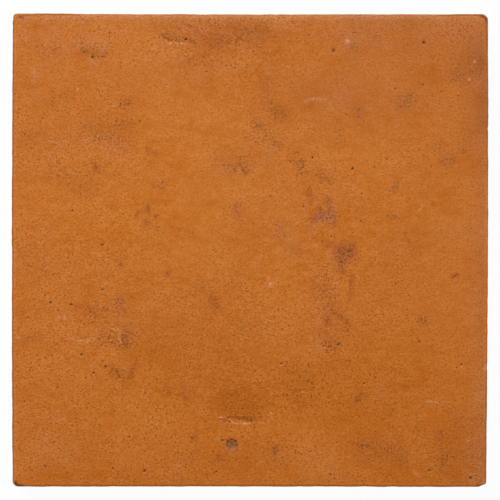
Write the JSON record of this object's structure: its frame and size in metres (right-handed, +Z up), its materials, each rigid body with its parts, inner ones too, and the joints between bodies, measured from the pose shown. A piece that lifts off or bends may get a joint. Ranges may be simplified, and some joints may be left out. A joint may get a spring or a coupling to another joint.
{
  "type": "terracotta floor tile",
  "caption": "Square unglazed terracotta floor tile, a handmade fired-clay slab with a gently wavy face, worn edges, knocked corners and a flat underside for bedding.",
  "frame": {"origin": "middle of the underside, at the level of the floor that the tile lies on", "axes": "+Z up out of the face, +X to the right and +Y to the top of the face as the picture shows it"},
  "size_m": [0.1998, 0.1987, 0.0204],
  "materials": {
    "terracotta": "matte unglazed fired clay with specks and wear"
  },
  "bodies": {
    "root": {"tile": "terracotta"}
  },
  "joints": []
}
